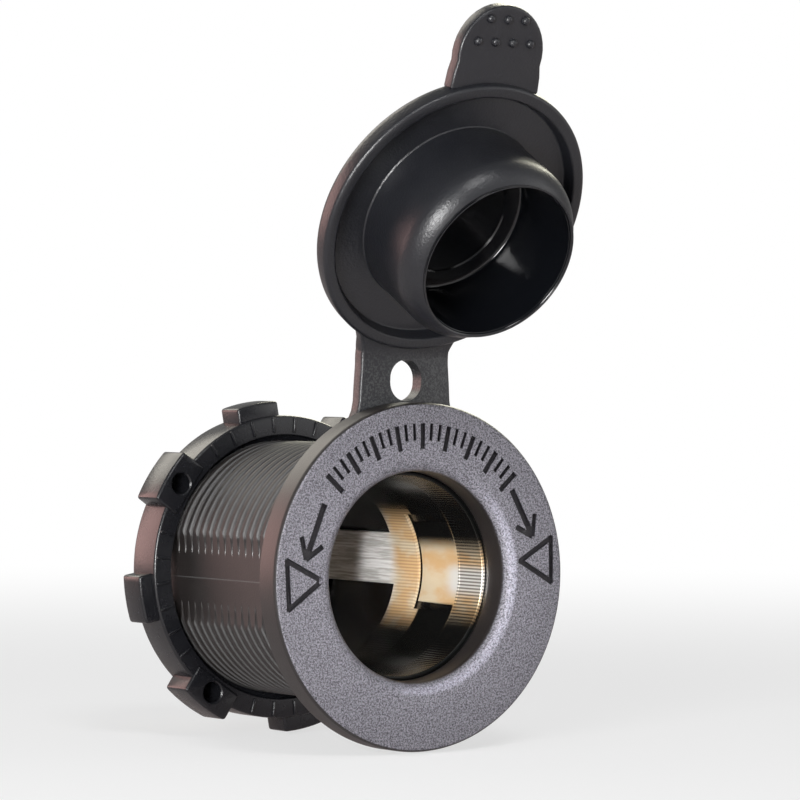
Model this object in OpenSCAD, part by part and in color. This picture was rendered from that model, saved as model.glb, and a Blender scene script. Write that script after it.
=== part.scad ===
// 12 V panel socket with a screw-on ring nut and a strapped cover cap.
// The socket's axis runs along Y: the opening faces -Y, +Z is up.
// The origin lies on the axis, in the rear face of the flange.

/* [Flange] */
// How far the flange stands out beyond the barrel
flange_w = 4.5; // [4:0.1:6]
// Thickness of the flange at its rim
flange_t = 3.2; // [2.4:0.1:4.5]
// Rounding of the flange's front edge
flange_edge = 0.5; // [0.2:0.1:1]
// Rounding of the mouth, where the face turns into the bore
mouth_round = 1.5; // [0.6:0.1:2]

/* [Barrel] */
// Radius of the barrel over its thread
barrel_r = 14; // [13:0.1:15]
// Length of the barrel behind the flange
barrel_len = 34.5; // [30:0.5:40]
// Thickness of the barrel's round wall, thread included
barrel_wall = 2.85; // [2.4:0.05:3.2]
// How deep each smooth side band is cut into the barrel
band_step = 0.95; // [0.6:0.05:0.95]
// How far the neck under the strap's collar lies below the thread
neck_step = 0.4; // [0.2:0.1:0.8]
// Distance between the grooves that stand for the thread
groove_pitch = 2.7; // [2.4:0.1:5]
// Depth of the thread's grooves
groove_depth = 0.7; // [0.4:0.05:0.9]
// Length of the plain lead-in behind the thread
lead_len = 4.8; // [3:0.1:6]
// How far the lead-in lies below the thread
lead_step = 0.7; // [0.5:0.05:0.9]
// Thickness of the barrel's rear wall
end_wall = 3; // [2:0.1:4]
// Chamfer round the barrel's rear edge
rear_chamfer = 0.8; // [0.3:0.1:1.2]

/* [Ground sleeve] */
// How much wider the sleeve is at its mouth
flare = 0.12; // [0.1:0.01:0.2]
// Length of the sleeve's wider mouth
flare_len = 3.2; // [2:0.1:3.2]
// Length over which the mouth narrows to the wall behind it
flare_run = 1; // [0.6:0.1:1]
// Thickness of the sleeve's sheet metal
sheet_t = 0.4; // [0.3:0.05:0.6]
// Depth of the sleeve's front edge behind the flange's rear face
sleeve_y = 0.8; // [0.3:0.1:1.2]
// Depth at which the sleeve's round wall ends and its two legs begin
wall_end_y = 17.2; // [16:0.1:22]
// Width of each leg
leg_w = 5.6; // [4:0.1:7]
// Turn of the sleeve about the axis
sleeve_turn = 5.5; // [0:0.5:8]
// Depth at which each punched spring tongue is rooted
tongue_y = 5.4; // [5.4:0.1:7]
// Length of each spring tongue
tongue_len = 6.2; // [5:0.1:8.5]
// Width of each spring tongue round the wall
tongue_w = 9; // [6:0.1:9.5]
// How far a tongue's free end stands in from the wall
tongue_in = 0.5; // [0.2:0.05:0.8]

/* [Contacts] */
// Radius of the centre contact's head, as a share of the sleeve's radius
head_share = 0.33; // [0.28:0.01:0.4]
// Thickness of the centre contact's head
head_t = 1.2; // [0.8:0.1:2]
// Radius of the centre contact's shank, as a share of the sleeve's radius
shank_share = 0.19; // [0.16:0.01:0.22]
// Radius of the insulating washer, as a share of the sleeve's radius
washer_share = 0.49; // [0.46:0.01:0.5]
// Thickness of the insulating washer
washer_t = 0.6; // [0.4:0.1:1]
// Radius of the hole in the sleeve's base, as a share of the sleeve's radius
base_hole_share = 0.34; // [0.3:0.01:0.38]
// Radius of the ground rivet's shank, as a share of the sleeve's radius
rivet_share = 0.12; // [0.1:0.01:0.14]
// Distance of the ground rivet from the axis, as a share of the sleeve's radius
rivet_place = 0.76; // [0.74:0.01:0.78]
// Width of the two terminal blades
blade_w = 6.3; // [4.8:0.1:6.6]
// Thickness of the terminal blades
blade_t = 0.8; // [0.6:0.1:1]
// Length of the blades behind the barrel
blade_len = 8.5; // [7:0.1:12]
// Height of the positive blade above the contact's shank
blade_rise = 3.6; // [3:0.1:5]
// Distance from each blade's tip to its detent hole
detent_in = 3.4; // [2.5:0.1:4]
// Radius of each blade's detent hole
detent_r = 0.9; // [0.6:0.1:1.1]
// Metal left round the holes in the blades' feet
foot_rim = 1.5; // [1.2:0.1:1.8]

/* [Ring nut] */
// Depth of the nut's front face behind the flange's rear face
nut_y = 23.5; // [8:0.5:28]
// Width of the nut's ring, from its bore outwards
nut_ring_w = 2.55; // [2:0.05:3]
// How far the nut's lugs lie in from the flange's rim
lug_in = 0.1; // [0:0.05:0.3]
// Depth of the nut along the axis
nut_t = 4.6; // [3.5:0.1:7]
// Number of lugs round the nut
lug_count = 8; // [6:1:12]
// Width of the plain lugs
lug_w = 5.3; // [4:0.1:6]
// Turn of the nut at rest
nut_turn = 10.5; // [0:0.5:45]
// Radius of the holes in every second lug
pin_hole_r = 1.15; // [1:0.05:1.8]
// Number of fine ribs round the nut's front face
rib_count = 36; // [24:1:48]

/* [Cap] */
// How far the cap's rim lies in from the flange's rim
disc_in = 2.85; // [2:0.05:3.5]
// Thickness of the disc at its lip
disc_t = 2.6; // [2.2:0.1:3.5]
// Width of the raised lip round the disc
lip_w = 1.4; // [1:0.1:2]
// Depth of the channel between the lip and the plug
channel_t = 1; // [0.6:0.1:1.3]
// Length of the plug from the lip
plug_len = 9; // [6:0.1:9.2]
// Rounding of the plug's outer end
plug_round = 3.4; // [3:0.1:5]
// Wall of the plug
plug_wall = 1.7; // [1.2:0.1:2.5]
// Length of the pull tab beyond the disc
tab_len = 7.8; // [7:0.1:14]
// How far the pull tab is bent away from the flange, in degrees
tab_bend = 13; // [0:1:20]
// Width of the pull tab at the disc
tab_w = 11.1; // [8:0.1:14]

/* [Strap] */
// Width of the strap at the disc
strap_w = 11.1; // [8:0.1:14]
// Width of the strap at the collar
strap_root_w = 11.9; // [9:0.1:14]
// Thickness of the strap, collar and tab
strap_t = 1.6; // [1.2:0.1:2]
// Radius of the strap's round-ended slot
slot_r = 2; // [1:0.1:2.5]
// How far the collar lies in from the flange's rim
collar_in = 1.2; // [0.8:0.1:2]
// Height of the line that the cap folds about, above the flange's rim
fold_rise = 1; // [0.7:0.1:2]
// Depth of the line that the cap folds about
fold_y = -1.2; // [-1.8:0.1:-0.8]
// Angle from the rest pose to the closed cap
close_angle = 150; // [148:1:152]

/* [Clearances] */
// Between the sleeve and the housing's bore
sleeve_fit = 0.05; // [0.02:0.01:0.1]
// Between a shank and its hole
shank_fit = 0.05; // [0.02:0.01:0.1]
// Between the cap's plug and the mouth of the sleeve
plug_fit = 0.35; // [0.25:0.05:0.6]
// Between the nut's bore and the barrel
nut_fit = 0.25; // [0.15:0.05:0.4]
// Between the collar and the neck
collar_fit = 0.15; // [0.1:0.05:0.3]
// Between the collar and the flange
collar_gap = 0.1; // [0.05:0.05:0.3]
// Between the closed cap and the flange, and between the strap and the disc
cap_gap = 0.3; // [0.2:0.05:0.5]

/* [Hidden] */
$fn = 96;
// Distance by which a cutting shape runs past what it cuts
cut = 1;

flange_r = barrel_r + flange_w;
neck_r = barrel_r - neck_step;
band_x = barrel_r - band_step;
bore_r = barrel_r - barrel_wall;
mouth_r = bore_r - sleeve_fit - sheet_t;
sleeve_r = mouth_r - flare;
head_r = head_share * sleeve_r;
shank_r = shank_share * sleeve_r;
washer_r = washer_share * sleeve_r;
base_hole_r = base_hole_share * sleeve_r;
rivet_r = rivet_share * sleeve_r;
rivet_z = rivet_place * sleeve_r;
lead_y = barrel_len - lead_len;
neck_len = collar_gap + strap_t + 0.4;
flare_y = sleeve_y + flare_len;
groove_half = groove_pitch / 4;
groove_count = floor((lead_y - lead_step - neck_len) / groove_pitch - 0.5);
floor_y = barrel_len - end_wall;
base_y = floor_y - sheet_t;
base_rim = 0.5;
skin = 0.05;
head_y = base_y - washer_t - head_t;
foot_y = barrel_len;
blade_end_y = barrel_len + blade_len;
nut_bore_r = barrel_r + nut_fit;
nut_ring_r = nut_bore_r + nut_ring_w;
nut_lug_r = flange_r - lug_in;
nut_chamfer = 0.4;
lug_front = 0.5;
holed_lug_w = lug_w + 0.9;
hole_pcr = (nut_bore_r + nut_lug_r) / 2 + 0.15;
rib_w = 0.3;
rib_h = 0.2;
rib_r = nut_bore_r + nut_chamfer + 0.1;
disc_r = flange_r - disc_in;
plug_r = mouth_r - plug_fit;
closed_y = -flange_t - cap_gap;
plug_bore_r = plug_r - plug_wall;
tab_end_r = tab_w / 2 - 0.25;
tab_side = 3;
tab_root = 1.5;
nub_r = 0.5;
nub_pitch = 2.2;
nub_row = 2.4;
nub_edge = 1.5;
collar_r = flange_r - collar_in;
collar_bore_r = neck_r + collar_fit;
fold_z = flange_r + fold_rise;
strap_y = collar_gap;
strap_mid_y = strap_y + strap_t / 2;
lean = 180 - close_angle;
// Middle of the strap's end at the disc, closed and then at rest
end_closed = [closed_y - disc_t + strap_t / 2 - fold_y, disc_r - fold_z];
end_rest = [fold_y + end_closed[0] * cos(close_angle) + end_closed[1] * sin(close_angle),
            fold_z - end_closed[0] * sin(close_angle) + end_closed[1] * cos(close_angle)];
bend_r = (strap_mid_y - end_rest[0]) / (1 - cos(lean));
bend_z = end_rest[1] - bend_r * sin(lean);
slot_z = fold_z + 1.3;
slot_rise = 0.4;
strap_end = 0.3;

// Points along an arc about c, from angle a0 to a1, in n steps
function arc(c, r, a0, a1, n) =
    [for (i = [0:n]) c + r * [cos(a0 + (a1 - a0) * i / n), sin(a0 + (a1 - a0) * i / n)]];

// Turns a shape drawn about Z, with z as depth, so that it lies along Y
module along_y() rotate([-90, 0, 0]) children();

// A plain ring or disc about the axis, from depth y0 to y1
module ring(ro, ri, y0, y1) {
    along_y() difference() {
        translate([0, 0, y0]) cylinder(r = ro, h = y1 - y0);
        if (ri > 0) translate([0, 0, y0 - cut]) cylinder(r = ri, h = y1 - y0 + 2 * cut);
    }
}

// A cylinder about a line parallel to the axis, through x and z
module bar_at(x, z, r, y0, y1) translate([x, 0, z]) ring(r, 0, y0, y1);

// Half section of the housing: flange, neck, barrel, rear wall and mouth
function housing_section() = concat(
    arc([bore_r + mouth_round, -flange_t + mouth_round], mouth_round, 180, 270, 6),
    arc([flange_r - flange_edge, -flange_t + flange_edge], flange_edge, 270, 360, 3),
    [[flange_r, 0], [neck_r, 0], [neck_r, neck_len], [barrel_r, neck_len]],
    [for (i = [1:groove_count], step = [-1:1])
        [barrel_r - (1 - abs(step)) * groove_depth, neck_len + i * groove_pitch + step * groove_half]],
    [[barrel_r, lead_y - lead_step], [barrel_r - lead_step, lead_y],
     [barrel_r - lead_step, barrel_len - rear_chamfer],
     [barrel_r - lead_step - rear_chamfer, barrel_len],
     [0, barrel_len], [0, floor_y], [bore_r, floor_y]]);

module housing() {
    color([0.12, 0.12, 0.13]) difference() {
        along_y() rotate_extrude() polygon(housing_section());
        // smooth bands where the mould parts, left and right
        for (side = [-1, 1])
            translate([side > 0 ? band_x : -band_x - barrel_r, 0, -barrel_r])
                cube([barrel_r, barrel_len + cut, 2 * barrel_r]);
        bar_at(0, 0, shank_r + shank_fit, floor_y - cut, barrel_len + cut);
        bar_at(0, -rivet_z, rivet_r + shank_fit, floor_y - cut, barrel_len + cut);
    }
}

// One tongue, rooted in the wall at its front edge and leaning inwards
module tongue() {
    half = asin(tongue_w / 2 / sleeve_r);
    root = tongue_y - sheet_t;
    tip = tongue_y + tongue_len;
    inner = sleeve_r + skin;
    outer = sleeve_r + sheet_t - skin;
    along_y() rotate([0, 0, -half]) rotate_extrude(angle = 2 * half)
        polygon([[inner, root], [outer, root], [outer, tongue_y], [outer - tongue_in, tip],
                 [inner - tongue_in, tip], [inner, tongue_y]]);
}

// Rolled and punched sleeve: round wall, two tongues, two legs and a base
module ground_sleeve() {
    slot = 0.7;
    color([0.78, 0.72, 0.60]) difference() {
        rotate([0, -sleeve_turn, 0]) {
            difference() {
                along_y() rotate_extrude() polygon([
                    [base_hole_r, base_y], [sleeve_r, base_y], [sleeve_r, flare_y + flare_run],
                    [mouth_r, flare_y], [mouth_r, sleeve_y],
                    [mouth_r + sheet_t, sleeve_y], [mouth_r + sheet_t, flare_y],
                    [sleeve_r + sheet_t, flare_y + flare_run], [sleeve_r + sheet_t, floor_y],
                    [base_hole_r, floor_y]]);
                for (side = [-1, 1]) {
                    translate([-bore_r - cut, wall_end_y, side > 0 ? leg_w / 2 : -leg_w / 2 - bore_r])
                        cube([2 * (bore_r + cut), base_y - base_rim - wall_end_y, bore_r]);
                    translate([side > 0 ? cut : -cut - bore_r, tongue_y, -tongue_w / 2 - slot])
                        cube([bore_r, tongue_len + 1.8 * slot, tongue_w + 2 * slot]);
                }
            }
            for (side = [0, 1]) mirror([side, 0, 0]) tongue();
        }
        bar_at(0, -rivet_z, rivet_r + shank_fit, base_y - cut, floor_y + cut);
    }
}

module insulating_washer() {
    color([0.55, 0.35, 0.2]) ring(washer_r, shank_r + shank_fit, base_y - washer_t, base_y);
}

// Head inside, shank through the rear wall, peened over the blade's foot
module centre_contact() {
    peen_y = foot_y + blade_t;
    color([0.8, 0.78, 0.74]) {
        along_y() rotate_extrude() polygon(concat(
            [[0, head_y]],
            arc([head_r - 0.4, head_y + 0.4], 0.4, 270, 360, 3),
            [[head_r, head_y + head_t], [shank_r, head_y + head_t], [shank_r, peen_y],
             [shank_r + 1, peen_y], [shank_r + 1, peen_y + 0.4], [shank_r + 0.4, peen_y + 0.9],
             [0, peen_y + 0.9]]));
    }
}

// Terminal blade on its foot; the foot lies on the rear wall from z0 to z1
module terminal(z0, z1, hole_z, hole_r, blade_z) {
    tip = blade_w / 6;
    difference() {
        union() {
            translate([-blade_w / 2, foot_y, z0]) cube([blade_w, blade_t, z1 - z0]);
            translate([0, 0, blade_z - blade_t / 2]) linear_extrude(blade_t) polygon([
                [-blade_w / 2, foot_y], [blade_w / 2, foot_y], [blade_w / 2, blade_end_y - tip],
                [blade_w / 2 - tip, blade_end_y], [-blade_w / 2 + tip, blade_end_y],
                [-blade_w / 2, blade_end_y - tip]]);
        }
        bar_at(0, hole_z, hole_r, foot_y - cut, foot_y + blade_t + cut);
        translate([0, blade_end_y - detent_in, blade_z - blade_t])
            cylinder(r = detent_r, h = 2 * blade_t);
    }
}

module positive_blade() {
    reach = shank_r + blade_rise;
    color([0.8, 0.68, 0.35])
        terminal(-shank_r - foot_rim, reach, 0, shank_r + shank_fit, reach - blade_t / 2);
}

module negative_blade() {
    top = -rivet_z + rivet_r + foot_rim;
    low = -rivet_z - rivet_r - foot_rim - blade_t / 2;
    color([0.8, 0.68, 0.35])
        terminal(low, top, -rivet_z, rivet_r + shank_fit, low + blade_t / 2);
}

module ground_rivet() {
    head = 0.8;
    peen_y = foot_y + blade_t;
    color([0.8, 0.78, 0.74]) {
        bar_at(0, -rivet_z, rivet_r + 0.9, base_y - head, base_y);
        bar_at(0, -rivet_z, rivet_r, base_y - skin, peen_y + skin);
        bar_at(0, -rivet_z, rivet_r + 0.7, peen_y, peen_y + head);
    }
}

// A lug of the nut: a block cut to the nut's outer radius, with its root in the ring
module lug(w, y0, y1, inner) {
    intersection() {
        translate([-w / 2, y0, 0]) cube([w, y1 - y0, nut_lug_r + cut]);
        ring(nut_lug_r, inner, y0 - cut, y1 + cut);
    }
}

// Angles of the fine ribs, all but those that would cross a drilled lug
function rib_angles() =
    let (step = 360 / lug_count, half = atan(holed_lug_w / 2 / rib_r) + 1)
    [for (i = [0:rib_count - 1]) let (a = (i + 0.5) * 360 / rib_count, off = (a + step) % (2 * step))
        if (min(off, 2 * step - off) > half) a];

// Ring with lugs all round, every second one broader and drilled, and ribs on its front
module ring_nut() {
    step = 360 / lug_count;
    far_y = nut_y + nut_t;
    color([0.13, 0.13, 0.14]) rotate([0, -nut_turn, 0]) difference() {
        union() {
            along_y() rotate_extrude() polygon([
                [nut_bore_r + nut_chamfer, nut_y], [nut_ring_r - nut_chamfer / 2, nut_y],
                [nut_ring_r, nut_y + nut_chamfer / 2], [nut_ring_r, far_y],
                [nut_bore_r + nut_chamfer, far_y], [nut_bore_r, far_y - nut_chamfer],
                [nut_bore_r, nut_y + nut_chamfer]]);
            for (i = [0:lug_count - 1]) rotate([0, -i * step, 0]) {
                if (i % 2 == 0) lug(lug_w, nut_y + lug_front, far_y - lug_front, nut_ring_r - 0.6);
                else lug(holed_lug_w, nut_y - rib_h, far_y - lug_front, rib_r);
            }
            for (a = rib_angles()) rotate([0, -a, 0])
                translate([-rib_w / 2, nut_y - rib_h, rib_r])
                    cube([rib_w, 2 * rib_h, nut_ring_r - nut_chamfer - rib_r]);
        }
        for (i = [1:2:lug_count - 1]) rotate([0, -i * step, 0])
            bar_at(0, hole_pcr, pin_hole_r, nut_y - cut, far_y - 1.2);
    }
}

// Ring of the strap moulding, round the neck behind the flange
module strap_collar() {
    color([0.2, 0.2, 0.21]) ring(collar_r, collar_bore_r, collar_gap, collar_gap + strap_t);
}

// Turns a shape drawn for the closed cap about the fold line, to the rest pose
module at_rest()
    translate([0, fold_y, fold_z]) rotate([-close_angle, 0, 0]) translate([0, -fold_y, -fold_z])
        children();

// Side outline of the strap, as depth and height: straight up, then bent forwards
function strap_side() =
    let (c = [strap_mid_y - bend_r, bend_z], out = bend_r + strap_t / 2, in = bend_r - strap_t / 2,
         up = strap_end * [-sin(lean), cos(lean)])
    concat([[strap_y + strap_t, collar_r - 2]], arc(c, out, 0, lean, 5),
           [c + out * [cos(lean), sin(lean)] + up, c + in * [cos(lean), sin(lean)] + up],
           arc(c, in, lean, 0, 5), [[strap_y, collar_r - 2]]);

// Extrudes an outline of the front view from depth y0 to y1
module through_y(y0, y1) translate([0, y1, 0]) rotate([90, 0, 0]) linear_extrude(y1 - y0) children();

// Strap at rest, from the collar to the disc's edge
module strap() {
    half = strap_w / 2;
    root = strap_root_w / 2;
    foot_z = collar_r - 3;
    color([0.2, 0.2, 0.21]) difference() {
        intersection() {
            translate([-strap_root_w, 0, 0]) rotate([90, 0, 90])
                linear_extrude(2 * strap_root_w) polygon(strap_side());
            through_y(-strap_root_w, strap_root_w)
                polygon([[-root, foot_z], [root, foot_z], [half, bend_z],
                         [half, 2 * bend_z], [-half, 2 * bend_z], [-half, bend_z]]);
        }
        ring(collar_r, 0, -cut, collar_gap + strap_t + cut);
        at_rest() ring(disc_r + cap_gap, 0, closed_y - disc_t - cut, closed_y + cut);
        through_y(-cut, strap_y + strap_t + cut) polygon(concat(
            arc([0, slot_z + slot_rise / 2], slot_r, 0, 180, 12),
            arc([0, slot_z - slot_rise / 2], slot_r, 180, 360, 12)));
    }
}

// Half section of the disc and its hollow plug, in the closed place
function cap_section() = concat(
    [[0, closed_y - disc_t], [disc_r - 1.2, closed_y - disc_t]],
    arc([disc_r - 1.2, closed_y - disc_t + 1.2], 1.2, 270, 360, 4),
    arc([disc_r - 0.5, closed_y - 0.5], 0.5, 0, 90, 3),
    [[disc_r - lip_w, closed_y], [disc_r - lip_w - 0.3, closed_y - channel_t],
     [plug_r, closed_y - channel_t]],
    arc([plug_r - plug_round, closed_y + plug_len - plug_round], plug_round, 0, 60, 6),
    [[plug_bore_r + 0.2, closed_y + plug_len], [plug_bore_r, closed_y + plug_len - 0.3],
     [plug_bore_r, closed_y - channel_t], [plug_bore_r - 2, closed_y - channel_t],
     [plug_bore_r - 2, closed_y - channel_t - 0.4], [0, closed_y - channel_t - 0.4]]);

// Pull tab, drawn in the disc's plane from z 0 downwards, with nubs for the fingers
module tab() {
    rotate([90, 0, 0]) translate([0, 0, -strap_t]) linear_extrude(strap_t) polygon(concat(
        [[-tab_w / 2, tab_root]],
        arc([0, tab_end_r - tab_len], tab_end_r, 180 + tab_side, 360 - tab_side, 12),
        [[tab_w / 2, tab_root]]));
    for (row = [0:1], i = [0:2 + row])
        translate([(i - (2 + row) / 2) * nub_pitch, strap_t, nub_edge + row * nub_row - tab_len])
            sphere(r = nub_r, $fn = 24);
}

// Disc, plug and pull tab in one
module cap() {
    color([0.16, 0.16, 0.17]) at_rest() {
        along_y() rotate_extrude() polygon(cap_section());
        difference() {
            translate([0, closed_y - disc_t, -disc_r]) rotate([-tab_bend, 0, 0]) tab();
            ring(disc_r - tab_root, 0, closed_y - disc_t - cut, closed_y + cut);
        }
    }
}

housing();
ground_sleeve();
insulating_washer();
centre_contact();
positive_blade();
negative_blade();
ground_rivet();
ring_nut();
strap_collar();
strap();
cap();
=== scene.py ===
"""Panel power socket with its ring nut and strapped cover, dressed round the CAD frame.

Shapes are worked out in millimetres, with the socket's axis along Y, the mouth towards -Y
and +Z up, and become metres when a mesh is made.
"""

from math import asin, atan2, cos, degrees, hypot, pi, radians, sin, sqrt, tan

import bmesh
import bpy
from mathutils import Matrix, Vector


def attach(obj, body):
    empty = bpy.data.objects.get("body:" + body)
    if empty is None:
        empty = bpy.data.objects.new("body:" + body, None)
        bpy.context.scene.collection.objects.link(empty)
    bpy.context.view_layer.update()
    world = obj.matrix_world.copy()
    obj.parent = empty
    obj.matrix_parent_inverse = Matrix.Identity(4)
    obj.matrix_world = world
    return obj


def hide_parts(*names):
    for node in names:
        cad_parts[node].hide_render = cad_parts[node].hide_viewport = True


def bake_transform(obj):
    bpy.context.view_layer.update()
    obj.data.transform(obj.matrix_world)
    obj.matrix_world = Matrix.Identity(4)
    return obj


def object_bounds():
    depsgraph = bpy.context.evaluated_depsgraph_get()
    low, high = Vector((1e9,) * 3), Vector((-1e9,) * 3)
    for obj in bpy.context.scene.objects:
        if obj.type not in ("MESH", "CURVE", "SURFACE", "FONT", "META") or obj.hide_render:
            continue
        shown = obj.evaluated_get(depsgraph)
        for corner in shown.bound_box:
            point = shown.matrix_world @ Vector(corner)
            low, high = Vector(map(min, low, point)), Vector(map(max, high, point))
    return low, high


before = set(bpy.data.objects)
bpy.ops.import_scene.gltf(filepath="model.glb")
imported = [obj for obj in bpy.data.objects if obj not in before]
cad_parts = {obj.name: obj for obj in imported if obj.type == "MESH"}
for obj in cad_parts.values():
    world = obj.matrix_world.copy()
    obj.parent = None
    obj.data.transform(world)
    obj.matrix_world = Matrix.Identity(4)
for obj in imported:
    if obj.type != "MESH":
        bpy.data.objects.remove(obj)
cad_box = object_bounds()

MM = 0.001
ROUND = 192  # segments of a full turn
SHARP_ANGLE = 32  # degrees; flatter edges than this are shaded smooth
WHITE = (1, 1, 1, 1)

# ---- sizes, in millimetres, as in the part's source ----
FLANGE_R, FLANGE_T, FLANGE_EDGE, MOUTH_ROUND = 18.5, 3.2, 0.5, 1.5
BORE_R, FLOOR_Y = 11.15, 31.5
BARREL_R, BARREL_LEN, BAND_X, NECK_R, NECK_LEN, REAR_CHAMFER = 14.0, 34.5, 13.05, 13.6, 2.1, 0.8
SHANK_HOLE_R, LEAD_Y, LEAD_STEP = 2.06, 29.7, 0.7
THREAD_PITCH, THREAD_ROOT_R = 1.35, 13.3
BAND_TURN = 3.5  # the barrel's smooth bands sit this far anticlockwise of the strap

NUT_Y, NUT_T, NUT_RING_R, NUT_LUG_R, NUT_BORE_R = 23.5, 4.6, 16.8, 18.4, 14.03
NUT_TURN, LUG_W, HOLED_LUG_W, HOLE_R, HOLE_PCR = 10.5, 5.3, 6.2, 1.15, 16.475
LUGS, LUG_ROUND = 8, 0.28
LUG_STEP = 360 // LUGS
RIB_STEP, RIB_CLEAR = 10, 12.5  # degrees between ribs, and from a rib to a broad lug's middle

DISC_R, DISC_T, LIP_W, CHANNEL = 15.65, 2.6, 1.4, 1.0
PLUG_R, PLUG_LEN, PLUG_ROUND, PLUG_WALL = 10.35, 9.0, 3.4, 1.7
TAB_LEN, TAB_W, TAB_END_R, TAB_BEND = 7.8, 11.1, 5.3, 13
NUB_R, NUB_PITCH, NUB_ROW, NUB_EDGE = 0.48, 2.2, 2.4, 1.5
STRAP_T, COLLAR_R, COLLAR_BORE_R, COLLAR_Y = 1.6, 17.3, 13.75, 0.1
STRAP_SLOT_Z, STRAP_SLOT_RISE, STRAP_SLOT_R = 20.8, 0.4, 2.0
FOLD_Y, FOLD_Z, CLOSE_ANGLE, CLOSED_Y = -1.2, 19.5, 150, -3.5

SLEEVE_R, SLEEVE_MOUTH_R, SHEET, SLEEVE_Y, SLEEVE_TURN = 10.58, 10.7, 0.4, 0.8, 5.5
TONGUE_Y, TONGUE_LEN, TONGUE_W, TONGUE_IN, SLOT = 5.4, 5.8, 9.0, 0.5, 0.8
LEGS_Y, LEG_W, BASE_Y, BASE_HOLE_R, RIVET_Z, RIVET_HOLE_R = 17.2, 5.6, 31.1, 3.6, -8.04, 1.32
SLEEVE_LINES = 186  # fine lines round the sleeve

MARK_W, ARROW_W, MARK_DEPTH = 0.62, 0.75, 0.5
SCALE_STROKES, SCALE_START, SCALE_STEP = 25, -48, 4  # count, then degrees from the top
SCALE_OUTER, LONG_INNER, SHORT_INNER, SHORT_W = 16.3, 13.6, 14.5, 0.42


# ---- camera ----
def place_camera():
    data = bpy.data.cameras.new("camera")
    data.sensor_width = 36
    data.lens = 190.3
    data.clip_start, data.clip_end = 0.01, 20
    camera = bpy.data.objects.new("camera", data)
    forward = Vector((0.56807, 0.82296, -0.00622)).normalized()
    right = forward.cross(Vector((-0.00288, 0.00955, 0.99995))).normalized()
    turn = Matrix((right, right.cross(forward), -forward)).transposed()
    camera.matrix_world = Matrix.Translation((-0.255883, -0.369542, 0.021512)) @ turn.to_4x4()
    bpy.context.scene.collection.objects.link(camera)
    bpy.context.scene.camera = camera


place_camera()


# ---- mesh helpers ----
def arc(cx, cy, r, a0, a1, steps):
    """Points (r, y) along an arc of a section, angles in degrees."""
    span = [radians(a0 + (a1 - a0) * i / steps) for i in range(steps + 1)]
    return [(cx + r * cos(a), cy + r * sin(a)) for a in span]


def chain(bm, points, closed=False):
    """A row of vertices and edges through points, as a list of geometry."""
    verts = [bm.verts.new(p) for p in points]
    pairs = list(zip(verts, verts[1:])) + ([(verts[-1], verts[0])] if closed else [])
    return verts + [bm.edges.new(pair) for pair in pairs]


def lathe(section, closed=True, steps=ROUND, middle=None, half=None):
    """A bmesh: a section of (radius, depth) points turned about Y.

    With half, it runs only that many degrees to each side of middle, measured clockwise
    from the top as the mouth is seen, and its ends are closed.
    """
    bm = bmesh.new()
    geom = chain(bm, [(0, y, r) for r, y in section], closed)
    bmesh.ops.spin(bm, geom=geom, cent=(0, 0, 0), axis=(0, 1, 0), steps=steps,
                   angle=radians(2 * half) if half else 2 * pi, use_merge=not half)
    bmesh.ops.remove_doubles(bm, verts=bm.verts, dist=0.002)
    if half:
        bmesh.ops.holes_fill(bm, edges=[e for e in bm.edges if e.is_boundary], sides=0)
        turned(bm, middle - half)
    bmesh.ops.recalc_face_normals(bm, faces=bm.faces)
    return bm


def prism(outline, y0, y1, round_r=0.0, cuts=()):
    """A bmesh: an outline of (x, z) points from depth y0 to y1, its edges rounded by round_r.

    It is cut across at each height in cuts, so that it can bend there.
    """
    bm = bmesh.new()
    chain(bm, [(x, y0, z) for x, z in outline], closed=True)
    face = bmesh.ops.contextual_create(bm, geom=bm.edges)["faces"]
    pushed = bmesh.ops.extrude_face_region(bm, geom=face)
    bmesh.ops.translate(bm, vec=(0, y1 - y0, 0),
                        verts=[v for v in pushed["geom"] if isinstance(v, bmesh.types.BMVert)])
    bmesh.ops.recalc_face_normals(bm, faces=bm.faces)
    if round_r:
        sharp = [e for e in bm.edges if e.calc_face_angle(0) > radians(25)]
        bmesh.ops.bevel(bm, geom=sharp, offset=round_r, offset_type="OFFSET", segments=3,
                        profile=0.5, affect="EDGES", material=-1, clamp_overlap=True)
    for z in cuts:
        bmesh.ops.bisect_plane(bm, geom=bm.verts[:] + bm.edges[:] + bm.faces[:],
                               plane_co=(0, 0, z), plane_no=(0, 0, 1))
    return bm


def joined(*parts):
    """One bmesh from several, which are freed."""
    whole = bmesh.new()
    for part in parts:
        loose = bpy.data.meshes.new("loose")
        part.to_mesh(loose)
        part.free()
        whole.from_mesh(loose)
        bpy.data.meshes.remove(loose)
    return whole


def as_object(name, bm):
    """An object at the origin from a bmesh in millimetres, which is freed."""
    bmesh.ops.scale(bm, vec=(MM, MM, MM), verts=bm.verts)
    mesh = bpy.data.meshes.new(name)
    bm.to_mesh(mesh)
    bm.free()
    obj = bpy.data.objects.new(name, mesh)
    bpy.context.scene.collection.objects.link(obj)
    return obj


def combine(obj, parts, operation, overlapping=False):
    """Adds or takes away each bmesh in parts, in millimetres, and keeps the result."""
    for number, part in enumerate(parts):
        tool = as_object(f"tool_{number}", part)
        step = obj.modifiers.new("step", "BOOLEAN")
        step.solver, step.operation, step.object = "EXACT", operation, tool
        step.use_self = overlapping
        shown = obj.evaluated_get(bpy.context.evaluated_depsgraph_get())
        result = bpy.data.meshes.new_from_object(shown)
        obj.modifiers.clear()
        spare, obj.data = obj.data, result
        bpy.data.meshes.remove(spare)
        spare = tool.data
        bpy.data.objects.remove(tool)
        bpy.data.meshes.remove(spare)


def smooth(obj):
    obj.data.polygons.foreach_set("use_smooth", [True] * len(obj.data.polygons))
    obj.data.set_sharp_from_angle(angle=radians(SHARP_ANGLE))
    return obj


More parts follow.
